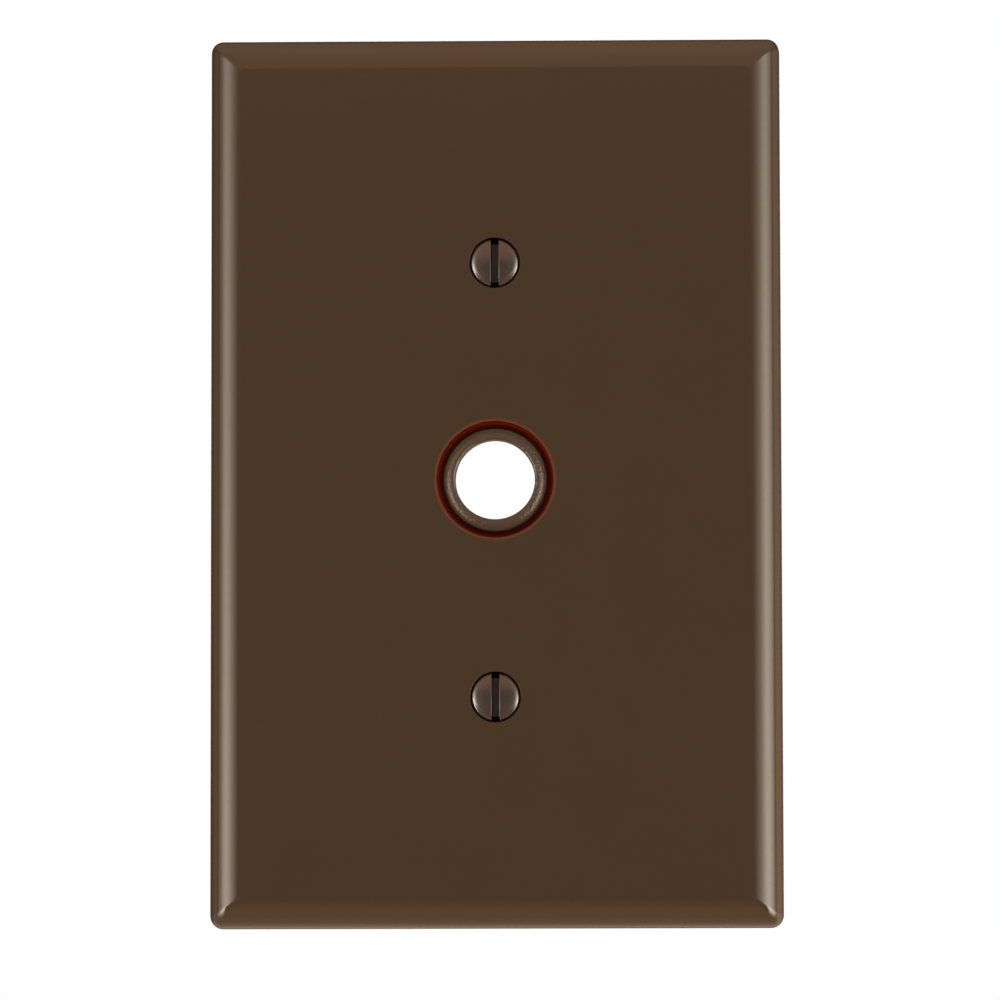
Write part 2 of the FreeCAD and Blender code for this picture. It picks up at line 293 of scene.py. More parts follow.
@dataclass
class MouldedPlate:
    """The plate: a rolled front with mitred corners, a ribbed back and a break-out ring. Millimetres."""

    width: float = 79.5
    height: float = 123.95
    depth: float = 6.5
    front_wall: float = 2.5
    wall_lean: float = 0.12
    outline_round: float = 1.8
    roll: float = 4.4
    face_round: float = 0.6
    mitre_power: int = 3
    rim_width: float = 2.2
    rim_round: float = 0.15
    hollow_lean: float = 0.4
    hollow_round: float = 2.4
    hollow_least_round: float = 0.6
    floor_round: float = 1.0
    strap_room: float = 1.2
    rib_step: float = 0.9
    rib_width: float = 1.2
    rib_corner_share: float = 0.9
    boss_radius: float = 4.5
    boss_lean: float = 0.07
    back_round: float = 0.25
    root_round: float = 0.4
    collar_radii: tuple[float, float] = (8.7, 10.1)
    screw_height: float = 30.1625
    bolt_radius: float = 2.0
    sink_radius: float = 3.5
    sink_angle: float = 82.0
    sink_land: float = 0.25
    sink_edge: float = 0.04
    hole_radius: float = 5.5
    lip_round: float = 0.4
    bead_top: float = 6.15
    bead_round: float = 1.3
    web_front: float = 4.4
    mouth_radius: float = 8.1
    mouth_round: float = 0.12
    roll_steps: int = 36
    bead_steps: int = 18
    corner_steps: int = 20
    turn_steps: int = 32

    @property
    def floor(self) -> float:
        """The depth of the hollow's floor."""
        return self.depth - self.front_wall

    @property
    def bead_radius(self) -> float:
        """The outer radius of the break-out ring."""
        return self.hole_radius + self.lip_round + self.bead_round

    def outline(self, inset: float, depth: float, corner: float) -> Ring:
        """The plate's outline at one depth, drawn in on every side by an inset."""
        sides = (size / 2 - inset for size in (self.width, self.height))
        return Ring(*sides, corner, depth, self.corner_steps)

    def shell(self) -> bpy.types.Object:
        """The outer form. Its corner radius shrinks along the roll, which makes the mitre at each corner.

        Returns:
            The solid form, still without its hollow.
        """
        start = self.outline_round - self.wall_lean
        side = self.depth - self.roll
        rings = []
        for inset, depth in arc((self.rim_round, self.rim_round), self.rim_round, 270, 180, EDGE_STEPS):
            rings.append(self.outline(inset, depth, self.outline_round - inset))
        for step in range(self.roll_steps + 1):
            angle = math.pi / 2 * step / self.roll_steps
            inset = self.wall_lean + self.roll * (1 - math.cos(angle))
            corner = self.face_round + (start - self.face_round) * math.cos(angle) ** self.mitre_power
            rings.append(self.outline(inset, side + self.roll * math.sin(angle), corner))
        return skin("moulded_plate", rings)

    def hollow(self) -> bpy.types.Object:
        """The space behind the front wall, with leaning sides and a rounded floor edge.

        Returns:
            The solid that is cut away.
        """
        section = [(-self.rim_round, -BEYOND)]
        section += arc((-self.rim_round, self.rim_round), self.rim_round, -90, 0, EDGE_STEPS)
        slope = math.degrees(math.atan(self.hollow_lean / self.floor))
        lean = self.hollow_lean * (1 - self.floor_round / self.floor)
        centre = (lean + self.floor_round, self.floor - self.floor_round)
        section += arc(centre, self.floor_round, 180 - slope, 90, ROUND_STEPS)
        most = self.hollow_round - self.hollow_least_round
        rings = [
            self.outline(self.rim_width + inset, depth, self.hollow_round - min(inset, most))
            for inset, depth in section
        ]
        return skin("hollow", rings)

    def raised(
        self, name: str, top: float, half_width: float, half_height: float, corner: float,
        up: float, lean: float = 0.0
    ) -> bpy.types.Object:
        """A rib or boss on the hollow's floor, with a rounded top edge and a fillet at its root.

        Args:
            name: Its name.
            top: The depth of its top.
            half_width: Half its width.
            half_height: Half its height.
            corner: Its corner radius.
            up: The height of its middle.
            lean: How much wider each side is at the root than at the top.

        Returns:
            The solid, which reaches a little into the front wall.
        """
        edge = self.back_round
        root = self.root_round
        section = arc((edge, top + edge), edge, -90, -180, EDGE_STEPS)
        section += arc((-lean - root, self.floor - root), root, 0, 90, FILLET_STEPS)
        section.append((-lean - root, self.floor + ROOT))
        rings = []
        for inset, depth in section:
            sides = (half_width - inset, half_height - inset)
            rings.append(Ring(*sides, corner - inset, depth, self.corner_steps, up))
        return skin(name, rings)

    def back(self) -> list[bpy.types.Object]:
        """The bosses and ribs that stand on the hollow's floor.

        Returns:
            The solids that are added.
        """
        rib_top = self.strap_room + self.rib_step
        rib = self.rib_width / 2
        rib_corner = rib * self.rib_corner_share
        side = (self.width - self.rim_width) / 2
        end = (self.height - self.rim_width) / 2
        start = sum(self.collar_radii) / 2
        boss = self.boss_radius
        solids = []
        for level in (1, -1):
            up = level * self.screw_height
            solids.append(self.raised("boss", self.strap_room, boss, boss, boss, up, self.boss_lean))
            solids.append(self.raised("cross_rib", rib_top, side, rib, rib_corner, up))
            middle = level * (start + end) / 2
            solids.append(self.raised("spine_rib", rib_top, rib, (end - start) / 2, rib_corner, middle))
        return solids

    def collar(self) -> bpy.types.Object:
        """The low wall round the break-out ring, on the back.

        Returns:
            The solid ring.
        """
        top = self.strap_room + self.rib_step + HAIR
        inner, outer = self.collar_radii
        edge = self.back_round
        root = self.root_round
        section = [(outer + root, self.floor + ROOT)]
        section += arc((outer + root, self.floor - root), root, 90, 180, FILLET_STEPS)
        section += arc((outer - edge, top + edge), edge, 0, -90, EDGE_STEPS)
        section += arc((inner + edge, top + edge + HAIR), edge, -90, -180, EDGE_STEPS)
        section.append((inner, self.floor + ROOT + HAIR))
        rings = [circle(radius, depth, self.turn_steps) for radius, depth in section]
        return skin("collar", rings, Ends.LOOPED)

    def screw_hole(self, up: float) -> bpy.types.Object:
        """A clearance hole with its countersink.

        Args:
            up: The height of its axis.

        Returns:
            The solid that is cut away.
        """
        slope = math.tan(math.radians(self.sink_angle / 2))
        shoulder = self.depth - self.sink_land
        throat = shoulder - (self.sink_radius - self.bolt_radius) / slope
        edge = self.sink_edge
        section = [
            (self.bolt_radius, -BEYOND),
            (self.bolt_radius, throat),
            (self.sink_radius, shoulder),
            (self.sink_radius, self.depth - edge),
            (self.sink_radius + edge, self.depth),
            (self.sink_radius + edge, self.depth + BEYOND),
        ]
        return skin("screw_hole", [circle(radius, depth, self.turn_steps, up) for radius, depth in section])

    def cable_hole(self) -> bpy.types.Object:
        """The cable hole and the groove round the break-out ring, down to the thin web.

        Returns:
            The solid that is cut away.
        """
        crest = self.hole_radius + self.lip_round
        mouth = self.mouth_radius
        edge = self.mouth_round
        section = [(self.hole_radius, -BEYOND)]
        section += arc((crest, self.bead_top - self.lip_round), self.lip_round, 180, 90, ROUND_STEPS)
        bead = self.bead_round
        section += arc((crest, self.bead_top - bead), bead, 90, 0, self.bead_steps)[1:]
        section += [(self.bead_radius, self.web_front + HAIR), (mouth, self.web_front)]
        section += arc((mouth + edge, self.depth - edge), edge, 180, 90, ROUND_STEPS)
        section.append((mouth + edge, self.depth + BEYOND))
        rings = [circle(radius, depth, self.turn_steps) for radius, depth in section]
        return skin("cable_hole", rings)

    def build(self) -> bpy.types.Object:
        """Makes the whole moulding.

        Returns:
            The finished piece, in metres.
        """
        plate = self.shell()
        join(plate, self.hollow(), Joining.CUT)
        for solid in self.back():
            join(plate, solid, Joining.ADD)
        join(plate, self.collar(), Joining.ADD)
        for level in (1, -1):
            join(plate, self.screw_hole(level * self.screw_height), Joining.CUT)
        join(plate, self.cable_hole(), Joining.CUT)
        finish_surface(plate)
        return plate


@dataclass
class OvalHeadScrew:
    """A slotted oval-head machine screw with its real thread. Millimetres, on its own axis."""

    head_radius: float = 3.3
    head_plane: float = 6.13993
    head_land: float = 0.1
    head_angle: float = 82.0
    crown_radius: float = 20.7
    crown_flat: float = 2.6
    crown_edge: float = 1.5
    crown_centre_share: float = 0.25
    slot_width: float = 1.1
    slot_depth: float = 1.25
    slot_corner: float = 0.02
    slot_edge: float = 0.1
    slot_edge_slope: float = 0.33
    neck_radius: float = 1.5
    neck_length: float = 5.23993
    neck_step: float = 0.25
    paint_end: tuple[float, float] = (4.4, 4.1)
    thread_radius: float = 1.75
    root_radius: float = 1.29
    pitch: float = 0.79375
    crest_share: float = 0.125
    flank_angle: float = 60.0
    thread_tuck: float = 0.02
    thread_lap: float = 0.1
    length: float = 12.7
    point_chamfer: float = 0.45
    spare_turns: int = 2
    helix_steps: int = 48
    turn_steps: int = 24
    crown_steps: int = 14
    swing_steps: int = 16
    swing_spare: float = 1.1

    @property
    def edge_centre(self) -> tuple[float, float]:
        """The centre of the crown's edge round, as radius and height above the head's edge plane."""
        radius = self.crown_flat * (1 - self.crown_edge / self.crown_radius)
        return radius, -math.sqrt(self.crown_edge**2 - (self.head_radius - radius) ** 2)

    @property
    def crown(self) -> float:
        """How far the crown stands above the plane of the head's edge."""
        share = math.sqrt(1 - (self.crown_flat / self.crown_radius) ** 2)
        return self.edge_centre[1] + self.crown_edge * share + self.crown_radius * (1 - share)

    @property
    def slot_floor(self) -> float:
        """The depth of the slot's floor."""
        return self.head_plane + self.crown - self.slot_depth

    def turned(self, name: str, section: Sequence[tuple[float, float]], steps: int) -> bpy.types.Object:
        """A round solid on the screw's axis, from its radii and their distances behind the head's edge."""
        rings = [circle(radius, self.head_plane - behind, steps) for radius, behind in section]
        return skin(name, rings)

    def blank(self) -> bpy.types.Object:
        """The head and the plain neck.

        Returns:
            The solid.
        """
        ball = self.crown_radius
        lean = math.degrees(math.asin(self.crown_flat / ball))
        radius, height = self.edge_centre
        rim = math.degrees(math.asin((self.head_radius - radius) / self.crown_edge))
        steps = self.crown_steps
        top = arc((0, self.crown - ball), ball, 90 - lean / steps, 90 - lean, steps)
        top += arc((radius, height), self.crown_edge, 90 - lean, 90 - rim, steps)[1:]
        slope = math.tan(math.radians(self.head_angle / 2))
        cone_end = self.head_land + (self.head_radius - self.neck_radius) / slope
        section = [(top[0][0] * self.crown_centre_share, -self.crown)]
        section += [(across, -above) for across, above in top]
        section += [
            (self.head_radius, self.head_land),
            (self.neck_radius, cone_end),
            (self.neck_radius, self.neck_length + self.neck_step),
        ]
        return self.turned("oval_head", section, self.turn_steps)

    def thread(self) -> bpy.types.Object:
        """The threaded end: a helix of the real pitch, trimmed to the blank's outer form.

        Returns:
            The solid.
        """
        rod = begin_mesh("thread")
        bpy.ops.mesh.primitive_plane_add(size=1.0)
        bpy.ops.mesh.merge(type="CENTER")
        crest = self.pitch * self.crest_share
        rise = self.thread_radius - self.root_radius
        flank = rise / math.tan(math.radians(self.flank_angle))
        land = self.pitch - crest - 2 * flank
        start = self.neck_length - self.spare_turns * self.pitch - self.head_plane
        bpy.ops.transform.translate(value=(self.root_radius, start, 0))
        for across, along in ((0, land), (rise, flank), (0, crest), (-rise, flank)):
            bpy.ops.mesh.extrude_region_move(TRANSFORM_OT_translate={"value": (across, along, 0)})
        bpy.ops.object.mode_set(mode="OBJECT")
        helix = rod.modifiers.new("helix", "SCREW")
        helix.axis = "Y"
        helix.angle = 2 * math.pi
        helix.screw_offset = self.pitch
        helix.iterations = math.ceil((self.length - self.neck_length) / self.pitch) + 2 * self.spare_turns
        helix.steps = self.helix_steps
        helix.render_steps = self.helix_steps
        select_only(rod)
        bpy.ops.object.modifier_apply(modifier=helix.name)
        bpy.ops.object.mode_set(mode="EDIT")
        bpy.ops.mesh.select_all(action="SELECT")
        bpy.ops.mesh.remove_doubles(threshold=WELD / 10)
        ends = ((self.neck_length - self.pitch, -1), (self.length + self.pitch / 2, 1))
        for behind, side in ends:
            bpy.ops.mesh.select_all(action="SELECT")
            bpy.ops.mesh.bisect(
                plane_co=(0, behind - self.head_plane, 0),
                plane_no=(0, side, 0),
                use_fill=True,
                clear_outer=True,
            )
        end_mesh(rod)
        inner = self.neck_radius - self.thread_tuck
        clear = self.thread_radius + HAIR
        section = [
            (inner, self.neck_length - self.thread_lap),
            (inner, self.neck_length),
            (clear, self.neck_length + self.neck_step),
            (clear, self.length - self.point_chamfer),
            (self.thread_radius - self.point_chamfer, self.length),
        ]
        join(rod, self.turned("envelope", section, self.turn_steps + 1), Joining.KEEP)
        return rod

    def slot(self) -> bpy.types.Object:
        """The slot across the crown, straight up and down, with a flat floor.

        Returns:
            The solid that is cut away.
        """
        reach = self.head_radius + BEYOND
        front = self.head_plane + self.crown + BEYOND
        half = self.slot_width / 2
        rings = [Ring(half, reach, self.slot_corner, depth, steps=2) for depth in (self.slot_floor, front)]
        return skin("slot", rings)

    def slot_chamfer(self) -> bpy.types.Object:
        """The broken edge of the slot's mouth, which follows the crown.

        Returns:
            The solid that is cut away.
        """
        ball = self.crown_radius
        centre = -(self.head_plane + self.crown - ball)
        slope = self.slot_edge_slope
        half = self.slot_width / 2
        inward = 2 * self.slot_edge
        outward = 3 * self.slot_edge
        side = inward + outward
        tool = begin_mesh("slot_chamfer")
        bpy.ops.mesh.primitive_plane_add(size=1.0)
        bpy.ops.mesh.merge(type="CENTER")
        bpy.ops.transform.translate(value=(inward - half, centre - ball + outward * slope, 0))
        for across, along in ((2 * (half - inward), 0), (side, -side * slope), (-2 * (half + outward), 0)):
            bpy.ops.mesh.extrude_region_move(TRANSFORM_OT_translate={"value": (across, along, 0)})
        bpy.ops.mesh.select_all(action="SELECT")
        bpy.ops.mesh.edge_face_add()
        swing = math.asin((self.head_radius + self.slot_edge) / ball) * self.swing_spare
        bpy.ops.transform.rotate(value=-swing, orient_axis="X", center_override=(0, centre, 0))
        bpy.ops.mesh.spin(steps=self.swing_steps, angle=2 * swing, center=(0, centre, 0), axis=(1, 0, 0))
        end_mesh(tool)
        return tool

    def build(self, name: str, up: float) -> bpy.types.Object:
        """Makes one screw and moves it to its hole.

        Args:
            name: The piece's name.
            up: The height of its axis.

        Returns:
            The finished piece, in metres.
        """
        screw = self.blank()
        join(screw, self.thread(), Joining.ADD)
        join(screw, self.slot_chamfer(), Joining.CUT)
        join(screw, self.slot(), Joining.CUT)
        screw.name = name
        finish_surface(screw)
        move_mesh(screw, up * MM)
        return screw

    def copy(self, screw: bpy.types.Object, name: str, up: float) -> bpy.types.Object:
        """Copies a finished screw, with a mesh of its own.

        Args:
            screw: The screw to copy.
            name: The copy's name.
            up: How far above the first it is placed.

        Returns:
            The copy.
        """
        select_only(screw)
        bpy.ops.object.duplicate(linked=False)
        twin = bpy.context.object
        twin.name = name
        move_mesh(twin, up * MM)
        return twin


class Tint(Enum):
    """The colours of the light that the studio sends back, as shares of red, green and blue."""

    BOX = (1.0, 0.9, 0.73)
    PALE = (1.0, 0.75, 0.55)
    WARM = (1.0, 0.68, 0.43)
    WALL = (1.0, 0.6, 0.42)
    ROOM = (1.0, 0.5, 0.27)


@dataclass
class NodeSheet:
    """A node tree with short ways to add nodes. A value or colour may also be another node's output."""

    tree: bpy.types.NodeTree

    def add(self, kind: str, *values: object, **settings: object) -> bpy.types.Node:
        """Adds a node.

        Args:
            kind: The node's type.
            *values: What its inputs get, in order.
            **settings: Properties to set on it.

        Returns:
            The new node.
        """
        node = self.tree.nodes.new(kind)
        for name, value in settings.items():
            setattr(node, name, value)
        for value, socket in zip(values, node.inputs):
            self.feed(value, socket)
        return node

    def feed(self, source: object, socket: bpy.types.NodeSocket) -> None:
        """Links an output to a socket, or sets the socket to a plain value.

        Args:
            source: The output or the value.
            socket: The socket that gets it.
        """
        if isinstance(source, bpy.types.NodeSocket):
            self.tree.links.new(source, socket)
        else:
            socket.default_value = source

    def axes(self, kind: str) -> Sequence[bpy.types.NodeSocket]:
        """The three parts of one kind of texture coordinate."""
        place = self.add("ShaderNodeTexCoord").outputs[kind]
        return self.add("ShaderNodeSeparateXYZ", place).outputs

    def math(self, operation: str, *values: object) -> bpy.types.NodeSocket:
        """The result of one operation on some values."""
        return self.add("ShaderNodeMath", *values, operation=operation).outputs[0]

    def reach(self, first: object, second: object) -> bpy.types.NodeSocket:
        """The length of a line that runs so far along each of two axes."""
        squares = (self.math("MULTIPLY", part, part) for part in (first, second))
        return self.math("SQRT", self.math("ADD", *squares))

    def between(self, value: object, low: float, high: float) -> bpy.types.NodeSocket:
        """A smooth step from 0 at one value to 1 at another, which may be the lower one."""
        step = self.add("ShaderNodeMapRange", value, low, high, interpolation_type="SMOOTHSTEP")
        return step.outputs["Result"]

    def zone(self, *steps: tuple[object, float, float]) -> bpy.types.NodeSocket:
        """The product of smooth steps, each with what it measures, where it starts and where it ends."""
        masks = (self.between(*step) for step in steps)
        return reduce(lambda mask, other: self.math("MULTIPLY", mask, other), masks)

    def mix(self, share: object, first: object, second: object) -> bpy.types.NodeSocket:
        """Mixes two colours.

        Args:
            share: How much of the second there is.
            first: The first colour.
            second: The second colour.

        Returns:
            The mixed colour.
        """
        node = self.add("ShaderNodeMix", data_type="RGBA")
        colours = [socket for socket in node.inputs if socket.type == "RGBA"]
        for value, socket in zip((share, first, second), (node.inputs[0], *colours)):
            self.feed(value, socket)
        return next(socket for socket in node.outputs if socket.type == "RGBA")

    def scaled(self, colour: object, factor: object) -> bpy.types.NodeSocket:
        """Makes a colour brighter or darker.

        Args:
            colour: The colour.
            factor: What it is multiplied by.

        Returns:
            The scaled colour.
        """
        node = self.add("ShaderNodeVectorMath", colour, operation="SCALE")
        self.feed(factor, node.inputs["Scale"])
        return node.outputs[0]

    def ramp(
        self, value: object, levels: dict[Tint, Sequence[tuple[float, float]]]
    ) -> bpy.types.NodeSocket:
        """The light that comes from each direction of a full turn.

        Args:
            value: The direction, 0 to 1.
            levels: For each tint, the directions in degrees with their light.

        Returns:
            The colour.
        """
        stops = [(*level, tint.value) for tint, row in levels.items() for level in row]
        stops.sort(key=lambda stop: stop[0])
        node = self.add("ShaderNodeValToRGB", value)
        elements = node.color_ramp.elements
        while len(elements) < len(stops):
            elements.new(0.5)
        for element, (degrees, light, tint) in zip(elements, stops):
            element.position = (degrees + 180) / 360
            element.color = (*(light * part for part in tint), 1.0)
        return node.outputs[0]


@dataclass(frozen=True)
class Paint:
    """A finish. Its colour varies by the mottle's share, and its relief is in millimetres."""

    name: str
    colour: tuple[float, float, float]
    roughness: float
    mottle: float
    relief: float
    index: float


MOULDING = Paint("brown_moulding", (0.0708, 0.0401, 0.0215), 0.09, 0.05, 0.0048, 1.5)
SCREW_PAINT = Paint("brown_screw_paint", (0.047, 0.033, 0.025), 0.17, 0.06, 0.008, 1.9)
BLACK = (0.0, 0.0, 0.0, 1.0)
WHITE = (1.0, 1.0, 1.0, 1.0)
# Painted shade: a deep one for gaps and under the screw heads, and a lighter one for the floor of the
# screw's slot.
GAP_SHADE = (0.0025, 0.0015, 0.001, 1.0)
SLOT_FLOOR_SHADE = (0.0245, 0.0145, 0.0095, 1.0)
BARE_STEEL = (0.42, 0.41, 0.39, 1.0)
# Painted shade for the thin web deep in the groove, tinted red as if lit through from behind.
WEB_SHADE_AND_GLOW = (0.048, 0.003, 0.0007, 1.0)
# Painted light: the red glow of the thin web and the warm glow round the mouth's rim, standing in for light
# that comes through the moulding from behind.
WEB_GLOW = (0.125, 0.003, 0.0, 1.0)
RIM_GLOW = (0.056, 0.011, 0.001, 1.0)


def new_group(name: str, labels: Sequence[str]) -> tuple[NodeSheet, bpy.types.Node]:
    """Starts a node group that puts out numbers.

    Args:
        name: The group's name.
        labels: The names of its outputs.

    Returns:
        The group's sheet and its output node.
    """
    group = bpy.data.node_groups.new(name, "ShaderNodeTree")
    for label in labels:
        group.interface.new_socket(name=label, in_out="OUTPUT", socket_type="NodeSocketFloat")
    return NodeSheet(group), group.nodes.new("NodeGroupOutput")


def texture_group() -> bpy.types.NodeTree:
    """The uneven colour and the faint grain that the moulding and the paint share.

    Returns:
        A group with the outputs Mottle, about 0 on average, and Grain and the finer Pits, from 0 to 1.
    """
    scales = {"Mottle": 90.0, "Grain": 900.0, "Pits": 3200.0}
    sheet, exit_node = new_group("surface_texture", tuple(scales))
    place = sheet.add("ShaderNodeTexCoord").outputs["Object"]
    for label, scale in scales.items():
        noise = sheet.add("ShaderNodeTexNoise", place)
        noise.inputs["Scale"].default_value = scale
        noise.inputs["Detail"].default_value = 2.0
        value = noise.outputs[0]
        if label == "Mottle":
            value = sheet.math("SUBTRACT", value, 0.5)
        sheet.feed(value, exit_node.inputs[label])
    return sheet.tree


def plate_places(plate: MouldedPlate) -> bpy.types.NodeTree:
    """Where the moulding looks different: at its break-out ring, its countersinks and its filed edge.

    Args:
        plate: The plate whose sizes are used.

    Returns:
        A group with these masks, from 0 to 1: the ring's Bead and its outer Slope, where painted light
        brightens the colour, the thin Web, painted a dark red shade, and the painted Glow of light shining
        through it, the mouth's painted lit Rim and its Wall, kept dark as painted shade, the Sink of
        each screw, in painted shade, and the Filed part of the outside.
    """
    labels = ("Bead", "Slope", "Web", "Glow", "Rim", "Wall", "Sink", "Filed")
    sheet, exit_node = new_group("plate_places", labels)
    across, depth, up = sheet.axes("Object")
    front = sheet.math("DIVIDE", depth, -MM)
    distance = sheet.math("DIVIDE", sheet.reach(across, up), MM)
    level = sheet.math("SUBTRACT", sheet.math("ABSOLUTE", up), plate.screw_height * MM)
    from_screw = sheet.math("DIVIDE", sheet.reach(across, level), MM)
    bead = plate.bead_radius
    mouth = plate.mouth_radius
    web = plate.web_front
    face = plate.depth
    side = plate.depth - plate.roll
    # Each step is what it measures and the two places, in millimetres, between which it changes.
    ring = ((distance, bead + 0.15, bead - 0.05), (front, web - 0.4, web - 0.1))
    above_web = (front, web - 0.2, web - 0.05)
    shine = (distance, bead + 0.1, bead + 1.0)
    halo = (distance, mouth + 0.65, mouth + 0.15)
    zones = {
        "Bead": ring,
        "Slope": (*ring, (distance, bead - 0.65, bead - 0.25)),
        "Web": (
            (distance, bead - 0.1, bead + 0.05), (distance, mouth + 0.25, mouth + 0.2),
            above_web, (front, face - 0.2, face - 1.0),
        ),
        "Glow": (
            shine, shine, (distance, mouth + 0.3, mouth + 0.15), above_web, (front, web + 0.3, web + 0.05)
        ),
        "Rim": (halo, halo, (front, face - 0.2, face - 0.08)),
        "Wall": (
            (distance, mouth - 0.05, mouth - 0.02), (distance, mouth + 0.15, mouth + 0.05),
            (front, web + 0.02, web + 0.1),
        ),
        "Sink": (
            (from_screw, plate.sink_radius + 0.1, plate.sink_radius + 0.05),
            (front, face, face - 0.04), (front, plate.floor - 1.4, plate.floor),
        ),
    }
    for label, steps in zones.items():
        sheet.feed(sheet.zone(*steps), exit_node.inputs[label])
    outside = [
        sheet.between(sheet.math("ABSOLUTE", place), (size / 2 - 0.5) * MM, (size / 2 - 0.3) * MM)
        for place, size in ((across, plate.width), (up, plate.height))
    ]
    behind = sheet.between(front, side + 0.5, side - 0.1)
    filed = sheet.math("MULTIPLY", sheet.math("MAXIMUM", *outside), behind)
    sheet.feed(filed, exit_node.inputs["Filed"])
    return sheet.tree


def screw_places(screw: OvalHeadScrew) -> bpy.types.NodeTree:
    """Where the floor of the screw's slot is, which gets a lighter painted shade, the parts of its head in
    deep painted shade and its bare shank.

    Args:
        screw: The screw whose sizes are used.

    Returns:
        A group with the outputs Slot, Under and Shank, from 0 to 1.
    """
    sheet, exit_node = new_group("screw_places", ("Slot", "Under", "Shank"))
    across, depth, _ = sheet.axes("Object")
    side = sheet.math("DIVIDE", sheet.math("ABSOLUTE", across), MM)
    front = sheet.math("DIVIDE", depth, -MM)
    half = screw.slot_width / 2
    floor = screw.slot_floor
    edge = screw.head_plane
    slot = sheet.zone(
        (side, half * 0.9, half * 0.75),
        (front, floor - 0.1, floor - 0.05),
        (front, floor + 0.1, floor + 0.05),
    )
    inside = sheet.zone((side, half * 1.04, half * 1.01), (front, edge + 0.35, edge + 0.2))
    under = sheet.math("MAXIMUM", inside, sheet.between(front, edge + 0.01, edge - 0.01))
    shank = sheet.between(front, *screw.paint_end)
    for mask, label in ((slot, "Slot"), (under, "Under"), (shank, "Shank")):
        sheet.feed(mask, exit_node.inputs[label])
    return sheet.tree


